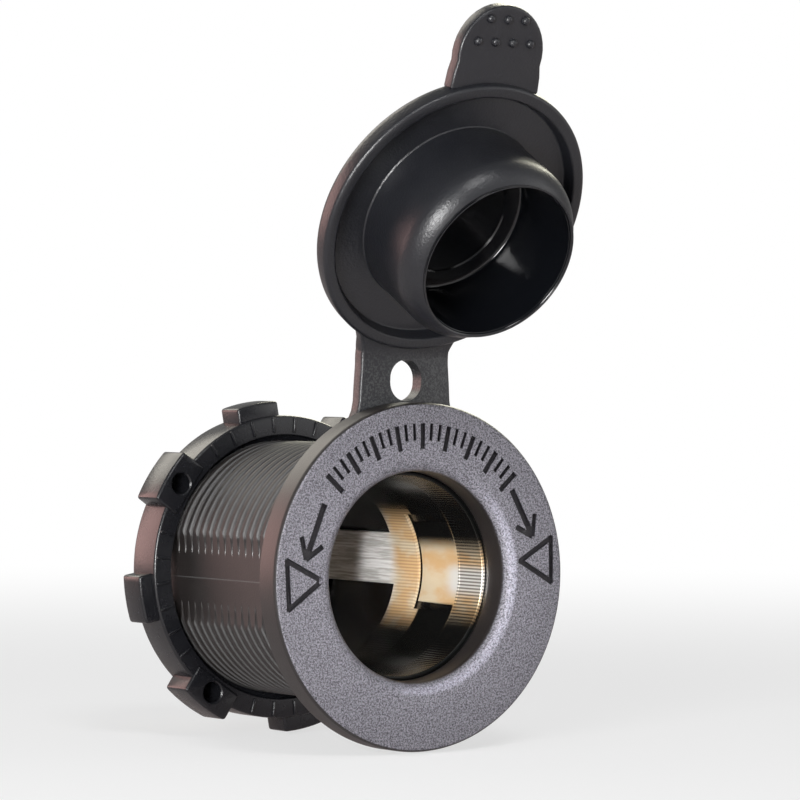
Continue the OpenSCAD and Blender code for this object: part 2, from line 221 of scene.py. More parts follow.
def turned(bm, angle, axis="Y", centre=(0, 0, 0)):
    bmesh.ops.rotate(bm, cent=centre, matrix=Matrix.Rotation(radians(angle), 3, axis),
                     verts=bm.verts)
    return bm


# ---- housing: one moulding, thread and face marks included ----
def thread_tube():
    """The thread's surface, trimmed to the barrel's length."""
    bm = bmesh.new()
    start = NECK_LEN - 2 * THREAD_PITCH
    turns = int((BARREL_LEN - NECK_LEN) / THREAD_PITCH) + 5
    flank = [(0, BARREL_R), (0.46, BARREL_R), (0.52, BARREL_R - 0.05), (0.74, THREAD_ROOT_R + 0.06),
             (0.8, THREAD_ROOT_R), (0.9, THREAD_ROOT_R), (0.96, THREAD_ROOT_R + 0.06),
             (1.1, BARREL_R - 0.22), (1.28, BARREL_R - 0.04), (THREAD_PITCH, BARREL_R)]
    geom = chain(bm, [(0, start + y, r) for y, r in flank])
    steps = 128
    bmesh.ops.spin(bm, geom=geom, cent=(0, 0, 0), axis=(0, 1, 0), angle=2 * pi,
                   dvec=(0, THREAD_PITCH / steps, 0), steps=steps, use_merge=False)
    one_turn = bm.verts[:] + bm.edges[:] + bm.faces[:]
    for turn in range(1, turns):
        copy = bmesh.ops.duplicate(bm, geom=one_turn)["geom"]
        bmesh.ops.translate(bm, vec=(0, turn * THREAD_PITCH, 0),
                            verts=[v for v in copy if isinstance(v, bmesh.types.BMVert)])
    bmesh.ops.remove_doubles(bm, verts=bm.verts, dist=0.004)
    for y, side in ((NECK_LEN, -1), (LEAD_Y - LEAD_STEP, 1)):
        bmesh.ops.bisect_plane(bm, geom=bm.verts[:] + bm.edges[:] + bm.faces[:], dist=0.001,
                               plane_co=(0, y, 0), plane_no=(0, side, 0), clear_outer=True)
    return bm


def pull_rings(bm, y, rings):
    """Extrudes the open edge loop at depth y through rings of (radius, depth)."""
    edges = [e for e in bm.edges if e.is_boundary and all(abs(v.co.y - y) < 0.003 for v in e.verts)]
    for radius, depth in rings:
        new = bmesh.ops.extrude_edge_only(bm, edges=edges)["geom"]
        for v in (v for v in new if isinstance(v, bmesh.types.BMVert)):
            scale = radius / hypot(v.co.x, v.co.z)
            v.co = (v.co.x * scale, depth, v.co.z * scale)
        edges = [e for e in new if isinstance(e, bmesh.types.BMEdge)
                 and all(abs(v.co.y - depth) < 0.001
                         and abs(hypot(v.co.x, v.co.z) - radius) < 0.001 for v in e.verts)]
    return edges


def flatten_bands(bm):
    """Cuts the thread and neck flat at the two smooth bands where the mould parts."""
    for side in (-1, 1):
        bmesh.ops.bisect_plane(bm, geom=bm.verts[:] + bm.edges[:] + bm.faces[:], dist=0.0005,
                               plane_co=(side * BAND_X, 0, 0), plane_no=(side, 0, 0))
    for v in bm.verts:
        v.co.x = max(-BAND_X, min(BAND_X, v.co.x))


def stroke(x0, z0, x1, z1, width):
    """Outline of a straight stroke on the face, with square ends."""
    length = hypot(x1 - x0, z1 - z0)
    ux, uz = (x1 - x0) / length, (z1 - z0) / length
    nx, nz = -uz * width / 2, ux * width / 2
    return [(x0 + nx, z0 + nz), (x1 + nx, z1 + nz), (x1 - nx, z1 - nz), (x0 - nx, z0 - nz)]


def face_marks():
    """Sunk marks on the face: two arrows, two open triangles and a plain graduated scale."""
    lines = []
    for tail, tip in (((-12.38, 7.9), (-14.58, 2.32)), ((11.68, 9.14), (14.4, 4.27))):
        lines.append((*tail, *tip, ARROW_W))
        back = atan2(tail[1] - tip[1], tail[0] - tip[0])
        for side in (-1, 1):
            angle = back + side * radians(38)
            lines.append((tip[0] - 0.2 * cos(back), tip[1] - 0.2 * sin(back),
                          tip[0] + 2.3 * cos(angle), tip[1] + 2.3 * sin(angle), MARK_W))
    for a, b, c in (((-17.0, 2.05), (-12.7, -0.11), (-16.7, -3.0)),
                    ((12.9, 1.5), (16.95, 3.95), (17.0, -0.8))):
        for p, q in ((a, b), (b, c), (c, a)):
            ux, uz = q[0] - p[0], q[1] - p[1]
            over = MARK_W / 3 / hypot(ux, uz)
            lines.append((p[0] - ux * over, p[1] - uz * over,
                          q[0] + ux * over, q[1] + uz * over, MARK_W))
    for number in range(SCALE_STROKES):
        angle = radians(SCALE_START + SCALE_STEP * number)
        inner, width = (SHORT_INNER, SHORT_W) if number % 3 else (LONG_INNER, MARK_W)
        lines.append((inner * sin(angle), inner * cos(angle),
                      SCALE_OUTER * sin(angle), SCALE_OUTER * cos(angle), width))
    return [prism(stroke(*line), -FLANGE_T - 1, -FLANGE_T + MARK_DEPTH) for line in lines]


def make_housing():
    """The flange, with its sunk marks, and the threaded barrel let into it."""
    mouth = arc(BORE_R + MOUTH_ROUND, -FLANGE_T + MOUTH_ROUND, MOUTH_ROUND, 270, 180, 10)
    edge = arc(FLANGE_R - FLANGE_EDGE, -FLANGE_T + FLANGE_EDGE, FLANGE_EDGE, 0, -90, 6)
    seam_y, seam_r = 1.0, 13.0
    flange = as_object("socket_housing", lathe(
        [(BORE_R, seam_y), (seam_r, seam_y), (seam_r, 0), (FLANGE_R - 0.25, 0),
         (FLANGE_R, -0.25), *edge, *mouth]))
    combine(flange, [joined(*face_marks())], "DIFFERENCE", overlapping=True)
    bm = thread_tube()
    front = [(NECK_R, NECK_LEN - 0.001), (NECK_R, -0.5), (seam_r - 0.5, -0.5),
             (seam_r - 0.5, seam_y), (BORE_R, seam_y), (BORE_R, FLOOR_Y), (SHANK_HOLE_R, FLOOR_Y)]
    lead_r = BARREL_R - LEAD_STEP
    rear = [(lead_r, LEAD_Y), (lead_r, BARREL_LEN - REAR_CHAMFER),
            (lead_r - REAR_CHAMFER, BARREL_LEN - 0.001), (SHANK_HOLE_R, BARREL_LEN - 0.002)]
    loops = pull_rings(bm, NECK_LEN, front) + pull_rings(bm, LEAD_Y - LEAD_STEP, rear)
    bmesh.ops.bridge_loops(bm, edges=loops)
    flatten_bands(bm)
    bmesh.ops.recalc_face_normals(bm, faces=bm.faces)
    turned(bm, -BAND_TURN)
    bmesh.ops.scale(bm, vec=(MM, MM, MM), verts=bm.verts)
    bm.from_mesh(flange.data)
    bm.to_mesh(flange.data)
    bm.free()
    return smooth(flange)


# ---- sleeve: rolled sheet with two punched tongues and two legs ----
def make_sleeve():
    lip = 0.08
    wall = lathe([
        (BASE_HOLE_R, BASE_Y), (SLEEVE_R - 1, BASE_Y), *arc(SLEEVE_R - 1, BASE_Y - 1, 1, 90, 0, 6),
        (SLEEVE_R, 14), (SLEEVE_R + 0.03, 8), (SLEEVE_MOUTH_R - 0.03, 4),
        *arc(SLEEVE_MOUTH_R + lip, SLEEVE_Y + lip, lip, 180, 270, 4),
        *arc(SLEEVE_MOUTH_R + SHEET - lip, SLEEVE_Y + lip, lip, 270, 360, 4),
        (SLEEVE_MOUTH_R + SHEET - 0.03, 4), (SLEEVE_R + SHEET + 0.03, 8), (SLEEVE_R + SHEET, 14),
        *arc(SLEEVE_R - 1, BASE_Y - 1, 1 + SHEET, 0, 90, 6), (BASE_HOLE_R, BASE_Y + SHEET)])
    sleeve = as_object("socket_sleeve", wall)
    tongue_half = degrees(asin(TONGUE_W / 2 / SLEEVE_R))
    leg_half = degrees(asin(LEG_W / 2 / SLEEVE_R))
    slot_half = tongue_half + degrees(SLOT / SLEEVE_R)
    near, far = SLEEVE_R - 2, SLEEVE_R + 2
    holes = [lathe([(near, TONGUE_Y), (near, TONGUE_Y + TONGUE_LEN + 2 * SLOT),
                    (far, TONGUE_Y + TONGUE_LEN + 2 * SLOT), (far, TONGUE_Y)],
                   steps=30, middle=side, half=slot_half) for side in (90, -90)]
    holes += [lathe([(near, LEGS_Y), (near, BASE_Y - 0.5), (far, BASE_Y - 0.5), (far, LEGS_Y)],
                    steps=60, middle=side, half=90 - leg_half) for side in (0, 180)]
    combine(sleeve, [joined(*holes)], "DIFFERENCE")
    inner = [(SLEEVE_R + 0.05 - TONGUE_IN * t ** 1.3, TONGUE_Y + t * TONGUE_LEN)
             for t in [i / 8 for i in range(9)]]
    section = [(SLEEVE_R + 0.05, TONGUE_Y - 0.5)] + inner + \
        [(r + SHEET - 0.1, y) for r, y in inner[::-1]] + [(SLEEVE_R + SHEET - 0.05, TONGUE_Y - 0.5)]
    for side in (90, -90):
        combine(sleeve, [lathe(section, steps=24, middle=side, half=tongue_half)], "UNION")
    sleeve.data.transform(Matrix.Rotation(radians(-SLEEVE_TURN), 4, "Y"))
    hole = lathe([(0, BASE_Y - 1), (RIVET_HOLE_R, BASE_Y - 1), (RIVET_HOLE_R, BASE_Y + 1),
                  (0, BASE_Y + 1)], closed=False, steps=32)
    bmesh.ops.translate(hole, vec=(0, 0, RIVET_Z), verts=hole.verts)
    combine(sleeve, [hole], "DIFFERENCE")
    return smooth(sleeve)


# ---- ring nut ----
def lug_outline(width, inner):
    half = width / 2
    outer = sqrt(NUT_LUG_R ** 2 - half ** 2)
    top = [(NUT_LUG_R * sin(radians(a)), NUT_LUG_R * cos(radians(a)))
           for a in [degrees(asin(half / NUT_LUG_R)) * (1 - i / 4) for i in range(1, 8)]]
    return [(-half, inner), (half, inner), (half, outer), *top, (-half, outer)]


def make_nut():
    far = NUT_Y + NUT_T
    ring = lathe([(NUT_BORE_R + 0.7, NUT_Y), (NUT_RING_R - 0.3, NUT_Y),
                  *arc(NUT_RING_R - 0.3, NUT_Y + 0.3, 0.3, -90, 0, 4)[1:],
                  *arc(NUT_RING_R - 0.3, far - 0.3, 0.3, 0, 90, 4),
                  (NUT_BORE_R + 0.4, far), (NUT_BORE_R, far - 0.4), (NUT_BORE_R, NUT_Y + 1.2),
                  (NUT_BORE_R + 0.55, NUT_Y + 0.9), (NUT_BORE_R + 0.6, NUT_Y + 0.1)])
    nut = as_object("clamp_nut", ring)
    parts = []
    for number in range(LUGS):
        if number % 2:
            outline, front = lug_outline(HOLED_LUG_W, NUT_BORE_R + 0.9), NUT_Y - 0.2
        else:
            outline, front = lug_outline(LUG_W, NUT_RING_R - 0.8), NUT_Y + 0.5
        parts.append(turned(prism(outline, front, far - 0.5, LUG_ROUND), -LUG_STEP * number))
    between_broad = 2 * LUG_STEP
    for number in range(360 // RIB_STEP):
        angle = RIB_STEP * (number + 0.5)
        off = (angle + LUG_STEP) % between_broad
        if min(off, between_broad - off) > RIB_CLEAR:
            rib = prism([(-0.12, NUT_BORE_R + 0.9), (0.12, NUT_BORE_R + 0.9),
                         (0.16, NUT_RING_R - 0.2), (-0.16, NUT_RING_R - 0.2)],
                        NUT_Y - 0.2, NUT_Y + 0.3, 0.09)
            parts.append(turned(rib, -angle))
    combine(nut, parts[:LUGS], "UNION")
    combine(nut, [joined(*parts[LUGS:])], "UNION")
    holes = []
    for number in range(1, LUGS, 2):
        hole = lathe([(0, NUT_Y - 1), (HOLE_R + 0.9, NUT_Y - 1), (HOLE_R, NUT_Y - 0.05),
                      (HOLE_R, far - 1.2), (0, far - 1.2)], closed=False, steps=40)
        bmesh.ops.translate(hole, vec=(0, 0, HOLE_PCR), verts=hole.verts)
        holes.append(turned(hole, -LUG_STEP * number))
    combine(nut, [joined(*holes)], "DIFFERENCE")
    nut.data.transform(Matrix.Rotation(radians(-NUT_TURN), 4, "Y"))
    return smooth(nut)


# ---- cover: collar, strap, disc, plug and pull tab in one flexible moulding ----
def cover_section():
    back, rim = CLOSED_Y - DISC_T, CLOSED_Y
    web = rim - CHANNEL
    end = rim + PLUG_LEN
    hollow = PLUG_R - PLUG_WALL
    return [(0, back), (DISC_R - 1.3, back), *arc(DISC_R - 1.2, back + 1.2, 1.2, -85, 0, 6),
            *arc(DISC_R - 0.45, rim - 0.45, 0.45, 0, 90, 5),
            *arc(DISC_R - LIP_W + 0.35, rim - 0.35, 0.35, 90, 165, 4),
            *arc(DISC_R - LIP_W - 0.5, web - 0.2, 0.3, -15, -90, 4),
            (PLUG_R + 0.12, web - 0.3), (PLUG_R, web - 0.18),
            *arc(PLUG_R - PLUG_ROUND, end - PLUG_ROUND, PLUG_ROUND, 0, 62, 16),
            *arc(hollow + 0.2, end - 0.31, 0.26, 78, 180, 6),
            (hollow - 0.12, end - 4.5), *arc(hollow - 0.6, web + 0.5, 0.5, 0, -90, 5),
            (hollow - 2.0, web), (hollow - 2.15, web - 0.15), (hollow - 2.15, web - 0.4),
            (0, web - 0.4)]


def rest_turn(bm):
    """Turns a shape drawn for the closed cover to the pose of the photograph."""
    return turned(bm, -CLOSE_ANGLE, "X", (0, FOLD_Y, FOLD_Z))


def tab_part():
    """The pull tab, drawn flat below the closed disc and bent away from the flange."""
    right = [(TAB_W / 2, -DISC_R + 1.4), (TAB_W / 2 - 0.1, -DISC_R - 0.4),
             (TAB_END_R - 0.08, -DISC_R - 1.6)]
    dome = arc(0, -DISC_R - TAB_LEN + TAB_END_R, TAB_END_R, 0, -180, 20)
    outline = right + dome + [(-x, z) for x, z in right[::-1]]
    back = CLOSED_Y - DISC_T
    return bent_tab(prism(outline, back, back + STRAP_T, 0.3))


def bent_tab(bm):
    return turned(bm, -TAB_BEND, "X", (0, CLOSED_Y - DISC_T, -DISC_R))


def nub_parts():
    """Seven small round nubs that the fingers find on the pull tab."""
    parts = []
    for row in (0, 1):
        for i in range(3 + row):
            nub = bmesh.new()
            bmesh.ops.create_uvsphere(nub, u_segments=24, v_segments=12, radius=NUB_R)
            bmesh.ops.translate(nub, verts=nub.verts, vec=(
                (i - (2 + row) / 2) * NUB_PITCH, CLOSED_Y - DISC_T + STRAP_T,
                -DISC_R - TAB_LEN + NUB_EDGE + row * NUB_ROW))
            parts.append(bent_tab(nub))
    return parts


def strap_part():
    """The strap, drawn upright and flat, then bent forwards to the disc."""
    lean = radians(180 - CLOSE_ANGLE)
    middle = COLLAR_Y + STRAP_T / 2
    back, up = CLOSED_Y - DISC_T + STRAP_T / 2 - FOLD_Y, DISC_R - FOLD_Z
    end_y = FOLD_Y + back * cos(pi - lean) + up * sin(pi - lean)
    end_z = FOLD_Z - back * sin(pi - lean) + up * cos(pi - lean)
    bend_r = (middle - end_y) / (1 - cos(lean))
    bend_z = end_z - bend_r * sin(lean)
    top = bend_z + bend_r * lean + 1.6
    left = [(-6.6, 15.5), (-6.5, 16.6), (-6.05, 17.6), (-5.85, 18.6), (-5.75, 20.5),
            (-5.6, 22.5), (-5.6, 24.0), (-5.9, 25.2), (-6.6, top)]
    outline = left + [(-x, z) for x, z in left[::-1]]
    plate = prism(outline, COLLAR_Y, COLLAR_Y + STRAP_T, 0.3,
                  cuts=[17.2 + 0.35 * i for i in range(int((top - 17.4) / 0.35))])
    strap = as_object("strap_plate", plate)
    rise = STRAP_SLOT_RISE / 2
    slot = [(STRAP_SLOT_R * cos(radians(a)),
             STRAP_SLOT_Z + (rise if a < 180 else -rise) + STRAP_SLOT_R * sin(radians(a)))
            for a in range(0, 360, 10)]
    combine(strap, [prism(slot, COLLAR_Y - 1, COLLAR_Y + STRAP_T + 1)], "DIFFERENCE")
    for v in strap.data.vertices:
        y, z = v.co.y / MM, v.co.z / MM
        past = z - bend_z
        if past > 0:
            out = y - middle
            angle = min(past / bend_r, lean)
            rest = past - angle * bend_r
            radius = bend_r + out
            v.co.y = MM * (middle - bend_r + radius * cos(angle) - rest * sin(angle))
            v.co.z = MM * (bend_z + radius * sin(angle) + rest * cos(angle))
    bm = bmesh.new()
    bm.from_mesh(strap.data)
    bmesh.ops.scale(bm, vec=(1 / MM,) * 3, verts=bm.verts)
    bpy.data.meshes.remove(strap.data)
    return bm


def make_cover():
    cover = as_object("cover", rest_turn(lathe(cover_section(), closed=False)))
    combine(cover, [rest_turn(tab_part())], "UNION")
    combine(cover, [rest_turn(joined(*nub_parts()))], "UNION")
    near, far = COLLAR_Y, COLLAR_Y + STRAP_T
    collar = lathe([(COLLAR_BORE_R, near), (COLLAR_R - 0.3, near), (COLLAR_R, near + 0.3),
                    (COLLAR_R, far - 0.3), (COLLAR_R - 0.3, far), (COLLAR_BORE_R, far)])
    combine(cover, [strap_part(), collar], "UNION")
    return smooth(cover)


# ---- materials ----
class Amount:
    """A number that varies over a surface, with Python's arithmetic."""

    def __init__(self, finish, socket):
        self.finish, self.socket = finish, socket

    def maths(self, operation, first, second=0.0):
        return self.finish.number("ShaderNodeMath", {"operation": operation}, {0: first, 1: second})

    def __add__(self, other):
        return self.maths("ADD", self, other)

    def __mul__(self, other):
        return self.maths("MULTIPLY", self, other)

    def __sub__(self, other):
        return self.maths("SUBTRACT", self, other)

    def __rsub__(self, other):
        return self.maths("SUBTRACT", other, self)

    def __pow__(self, other):
        return self.maths("POWER", self, other)

    __radd__, __rmul__ = __add__, __mul__

    def size(self):
        return self.maths("ABSOLUTE", self)

    def between(self, low, high):
        """0 below low, 1 above high, smooth between; low may be the larger."""
        return self.finish.number("ShaderNodeMapRange", {"interpolation_type": "SMOOTHSTEP"},
                                  {"Value": self, "From Min": low, "From Max": high})


class Finish:
    """One material: its nodes, and the object's own coordinates to draw patterns on."""

    def __init__(self, name, **constants):
        self.material = bpy.data.materials.new(name)
        self.material.use_nodes = True
        self.tree = self.material.node_tree
        self.shader = self.tree.nodes["Principled BSDF"]
        for socket, value in constants.items():
            self.shader.inputs[socket.replace("_", " ")].default_value = value
        self.place = self.node("ShaderNodeTexCoord").outputs["Object"]
        split = self.node("ShaderNodeSeparateXYZ", {}, {0: self.place})
        self.x, self.y, self.z = (Amount(self, split.outputs[i]) for i in range(3))

    def node(self, kind, settings=None, values=None):
        made = self.tree.nodes.new(kind)
        for key, value in (settings or {}).items():
            setattr(made, key, value)
        for key, value in (values or {}).items():
            self.give(made.inputs[key], value)
        return made

    def give(self, socket, value):
        if isinstance(value, Amount):
            value = value.socket
        if isinstance(value, bpy.types.NodeSocket):
            self.tree.links.new(value, socket)
        else:
            socket.default_value = value

    def number(self, kind, settings=None, values=None):
        return Amount(self, self.node(kind, settings, values).outputs[0])

    def stretched(self, x=1, y=1, z=1):
        """The object's coordinates, scaled along each axis."""
        return self.node("ShaderNodeMapping", {},
                         {"Vector": self.place, "Scale": (x, y, z)}).outputs[0]

    def noise(self, size_mm, detail=3.0, rough=0.5, place=None):
        return self.number("ShaderNodeTexNoise", {}, {
            "Vector": place or self.place, "Scale": 1 / (size_mm * MM), "Detail": detail,
            "Roughness": rough})

    def cells(self, size_mm):
        return self.number("ShaderNodeTexVoronoi", {"feature": "SMOOTH_F1"}, {
            "Vector": self.place, "Scale": 1 / (size_mm * MM), "Smoothness": 0.4})

    def radius(self):
        """Distance from the socket's axis, in metres."""
        return (self.x ** 2 + self.z ** 2) ** 0.5

    def mix(self, amount, first, second):
        made = self.node("ShaderNodeMix", {"data_type": "RGBA"}, {0: amount})
        self.give(made.inputs[6], first)
        self.give(made.inputs[7], second)
        return made.outputs[2]

    def bump(self, height, depth_mm):
        return self.node("ShaderNodeBump", {}, {
            "Height": height, "Distance": depth_mm * MM, "Strength": 1.0}).outputs[0]

    def done(self, colour, roughness, normal, metallic=None):
        for name, value in (("Base Color", colour), ("Roughness", roughness), ("Normal", normal),
                            ("Metallic", metallic)):
            if value is not None:
                self.give(self.shader.inputs[name], value)
        return self.material


def grey(level, warmth=0.0):
    return (level * (1 + warmth), level, level * (1 - warmth), 1)


def housing_plastic():
    """Black moulding: spark-grained face and mouth, smooth rim and bands, satin thread.

    The lighter patch on the lower right of the mouth's edge is a highlight drawn as colour.
    The thread's crest rims and the parting seams carry painted highlights, and the bore and
    the sunk marks' floors carry painted shade.
    """
    f = Finish("housing_plastic", Specular_IOR_Level=0.5)
    face = f.y.between(-0.0014, -0.0020) * f.radius().between(0.01120, 0.01135) * \
        f.radius().between(0.01848, 0.01825)
    # The sunk marks' floors are painted near black: painted shade in the recesses.
    sunk_floor_painted_shade = f.y.between(-0.00314, -0.00306) * f.radius().between(0.01265, 0.0127)
    pits = f.noise(0.20, 2, 0.5)
    fine = f.noise(0.12, 2, 0.6)
    speck = (pits * 0.5 + fine * 0.5).between(0.36, 0.64)
    patches = f.noise(6, 3, 0.5)
    face_colour = f.mix(speck, (0.024, 0.023, 0.028, 1), (0.200, 0.192, 0.220, 1))
    lip = f.radius().between(0.0114, 0.0118) * f.radius().between(0.0127, 0.0122) * \
        (f.x - f.z * 0.6).between(0.0, 0.009)
    face_colour = f.mix(lip * (0.1 + speck * 0.3), face_colour, (0.44, 0.43, 0.52, 1))
    side_colour = f.mix(patches, (0.010, 0.009, 0.009, 1), (0.020, 0.016, 0.015, 1))
    turn = radians(BAND_TURN)
    across = (f.z * cos(turn) - f.x * sin(turn)).size()
    sideways = (f.x * cos(turn) + f.z * sin(turn)).size()
    # The thread's crest rims are painted lighter grey: a painted highlight along the crests.
    edge = f.radius().between(0.01380, 0.01388) * f.radius().between(0.01399, 0.01396) * \
        sideways.between(0.01304, 0.01302)
    thread = f.mix(edge * f.y.between(0.002, 0.0024) * (0.4 + fine), side_colour, grey(0.07))
    # The mould's parting seam on each band is real; its lighter line is a painted highlight.
    seam_painted_highlight = across.between(0.00008, 0.00004) * sideways.between(0.0129, 0.0130) * \
        f.y.between(0.0025, 0.004) * f.y.between(0.027, 0.024)
    # The bore behind the mouth is painted near black: painted shade in the hollow; it is also
    # glossier.
    hollow_painted_shade = f.radius().between(0.0113, 0.0112) * f.y.between(0.0, 0.0008)
    outside = f.mix(seam_painted_highlight * 0.5, thread, grey(0.10))
    body = f.mix(hollow_painted_shade, outside, grey(0.003))
    colour = f.mix(face, body, f.mix(sunk_floor_painted_shade, face_colour, (0.006, 0.005, 0.007, 1)))
    worn = f.radius().between(0.0138, 0.01395) * f.radius().between(0.0142, 0.0141)
    rough = 0.34 + face * 0.12 + fine * 0.12 - hollow_painted_shade * 0.24 + worn * 0.14
    grain = pits * 0.7 + fine * 0.5
    normal = f.bump(grain * (face * 0.85 + 0.15), 0.11)
    return f.done(colour, rough, normal)


def nut_plastic():
    f = Finish("nut_plastic", Specular_IOR_Level=0.5)
    cloud = f.noise(3, 4, 0.55)
    fine = f.noise(0.25, 3, 0.6)
    colour = f.mix(cloud, (0.005, 0.0055, 0.007, 1), (0.009, 0.009, 0.011, 1))
    return f.done(colour, 0.2 + cloud * 0.14, f.bump(fine + cloud * 0.4, 0.014))


def cover_plastic():
    """Softer black moulding of cap, strap and collar: fine matt grain, glossy in the plug, and
    darker there as painted shade.
    """
    f = Finish("cover_plastic", Specular_IOR_Level=0.5)
    lean = radians(-CLOSE_ANGLE)
    # height and depth in the closed place, seen from the rest pose
    height = (f.y - FOLD_Y * MM) * -sin(lean) + (f.z - FOLD_Z * MM) * cos(lean) + FOLD_Z * MM
    depth = (f.y - FOLD_Y * MM) * cos(lean) + (f.z - FOLD_Z * MM) * sin(lean) + FOLD_Y * MM
    reach = (f.x ** 2 + height ** 2) ** 0.5
    # Inside the hollow plug the colour is darker: painted shade in the hollow; it is also glossier
    # and less grained.
    hollow_painted_shade = reach.between((PLUG_R - PLUG_WALL + 0.14) * MM, (PLUG_R - PLUG_WALL + 0.1) * MM) * \
        depth.between((CLOSED_Y - 1.7) * MM, (CLOSED_Y - 1.5) * MM)
    cloud = f.noise(4, 4, 0.55)
    grain = f.cells(0.3) * 0.5 + f.noise(0.16, 3, 0.6) * 0.7
    strap = f.z.between(0.026, 0.021)
    plain = f.mix(cloud, (0.0065, 0.0070, 0.0095, 1), (0.0115, 0.012, 0.0145, 1))
    rubbed = f.mix(f.noise(0.2, 2, 0.6).between(0.45, 0.6) * strap, plain, grey(0.035, -0.03))
    colour = f.mix(hollow_painted_shade, rubbed, (0.003, 0.0034, 0.0045, 1))
    rough = 0.25 + cloud * 0.08 + grain * 0.08 + strap * 0.05 - hollow_painted_shade * 0.24
    return f.done(colour, rough, f.bump(grain * (1 - hollow_painted_shade * 0.9), 0.03))


def sleeve_metal():
    """Plated sheet with fine lines along the axis.

    The real sheet is plain metal. Its bright and dark zones are reflections in the photograph,
    and are drawn here as colour, fixed to the object, and not made by the lights alone.
    """
    f = Finish("sleeve_metal", Metallic=0.65)
    angle = f.z.maths("ARCTAN2", f.z, f.x)
    ribs = angle.maths("SINE", angle * SLEEVE_LINES) * 0.5 + 0.5
    front = f.y.between(0.0053, 0.0050)
    tongue = f.y.between(0.0050, 0.0053) * f.y.between(0.0116, 0.0112)
    legs = f.y.between(0.0160, 0.0185)
    wall = (1 - front) * (1 - tongue) * (1 - legs)
    up = f.z - f.x * tan(radians(SLEEVE_TURN))
    height = (up + 0.0005).size()
    low = (up + 0.0019).size()
    lit = front * low.between(0.0050, 0.0014) + \
        tongue * up.between(0.0029, 0.0009) * up.between(-0.0048, -0.0042) + \
        wall * height.between(0.0072, 0.0040) + legs * height.between(0.0052, 0.0036)
    bright = (front + tongue * f.y.between(0.0080, 0.0055)) * low.between(0.0022, 0.0006)
    cloud = f.noise(2.0, 3, 0.5, f.stretched(1, 0.5, 1))
    streaks = f.noise(0.35, 3, 0.6, f.stretched(1, 0.06, 1))
    warm = f.mix(cloud.between(0.35, 0.65), (0.93, 0.60, 0.30, 1), (0.97, 0.80, 0.56, 1))
    silver = f.mix(streaks.between(0.4, 0.6), (0.62, 0.60, 0.57, 1), (1.0, 0.99, 0.97, 1))
    tone = f.mix(legs, f.mix(bright, warm, (1.0, 0.98, 0.93, 1)), silver)
    lines = ribs * (front + wall * 0.45 + legs * 0.15)
    lined = f.mix(lines * 0.85, tone, (0.09, 0.068, 0.048, 1))
    colour = f.mix(lit, (0.009, 0.009, 0.0085, 1), lined)
    return f.done(colour, 0.16 + cloud * 0.12, f.bump(lines, 0.012),
                  0.65 - legs * 0.35 - wall * 0.2)


def plated(name, colour, low, high, along=False):
    """Bright plated or brass sheet with fine drawn lines."""
    f = Finish(name, Metallic=1.0)
    place = f.stretched(1, 0.06, 1) if along else f.stretched(0.15, 1, 0.15)
    lines = f.noise(0.12, 3, 0.7, place)
    cloud = f.noise(2.5, 4, 0.6)
    dark = tuple(c * 0.72 for c in colour[:3]) + (1,)
    shade = f.mix((lines * 0.5 + cloud * 0.6).between(0.3, 0.8), dark, colour)
    return f.done(shade, low + (high - low) * cloud + lines * 0.08, f.bump(lines, 0.008))


def fibre():
    f = Finish("fibre_board")
    strands = f.noise(0.3, 4, 0.7, f.stretched(1, 1, 0.3))
    colour = f.mix(strands, (0.20, 0.08, 0.035, 1), (0.34, 0.16, 0.07, 1))
    return f.done(colour, 0.6 + strands * 0.2, f.bump(strands, 0.03))


def dress(obj, material):
    obj.data.materials.clear()
    obj.data.materials.append(material)


# ---- pieces ----
housing = make_housing()
dress(housing, housing_plastic())
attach(housing, "socket")
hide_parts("housing")

sleeve = make_sleeve()
dress(sleeve, sleeve_metal())
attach(sleeve, "socket")
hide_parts("ground_sleeve")

nut = make_nut()
dress(nut, nut_plastic())
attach(nut, "nut")
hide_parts("ring_nut")

cover = make_cover()
dress(cover, cover_plastic())
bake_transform(cover)
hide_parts("strap_collar", "strap", "cap")

for node, material in (
        ("centre_contact", plated("contact_metal", (0.80, 0.78, 0.74, 1), 0.2, 0.4)),
        ("ground_rivet", plated("rivet_metal", (0.72, 0.70, 0.66, 1), 0.25, 0.45)),
        ("positive_blade", plated("positive_brass", (0.83, 0.66, 0.32, 1), 0.2, 0.4, True)),
        ("negative_blade", plated("negative_brass", (0.80, 0.64, 0.33, 1), 0.22, 0.42, True)),
        ("insulating_washer", fibre())):
    dress(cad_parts[node], material)


# ---- floor, background and light ----
def stage_floor():
    """A white floor to the camera; to mirrored rays it is dimmer and tinted, not white."""
    bm = bmesh.new()
    bmesh.ops.create_grid(bm, x_segments=1, y_segments=1, size=6)
    bmesh.ops.translate(bm, vec=(0, 0, cad_box[0][2] - 0.0002), verts=bm.verts)
    mesh = bpy.data.meshes.new("floor")
    bm.to_mesh(mesh)
    bm.free()
    floor = bpy.data.objects.new("floor", mesh)
    bpy.context.scene.collection.objects.link(floor)
    f = Finish("floor_white", Roughness=0.9, Specular_IOR_Level=0.0)
    f.give(f.shader.inputs["Base Color"], (0.86, 0.86, 0.86, 1))
    path = f.node("ShaderNodeLightPath")
    camera_ray = Amount(f, path.outputs["Is Camera Ray"])
    seen = camera_ray + Amount(f, path.outputs["Is Glossy Ray"]) * 0.3
    tint = f.mix(camera_ray, (1.0, 0.76, 0.74, 1), WHITE)
    glow = f.node("ShaderNodeEmission", {}, {0: tint, 1: 1.0})
    far = ((f.x ** 2 + f.y ** 2) ** 0.5).between(0.08, 0.45)
    blend = f.node("ShaderNodeMixShader", {}, {
        0: seen * (far * 0.35 + 0.65), 1: f.shader.outputs[0], 2: glow.outputs[0]})
    f.tree.links.new(blend.outputs[0], f.tree.nodes["Material Output"].inputs[0])
    mesh.materials.append(f.material)


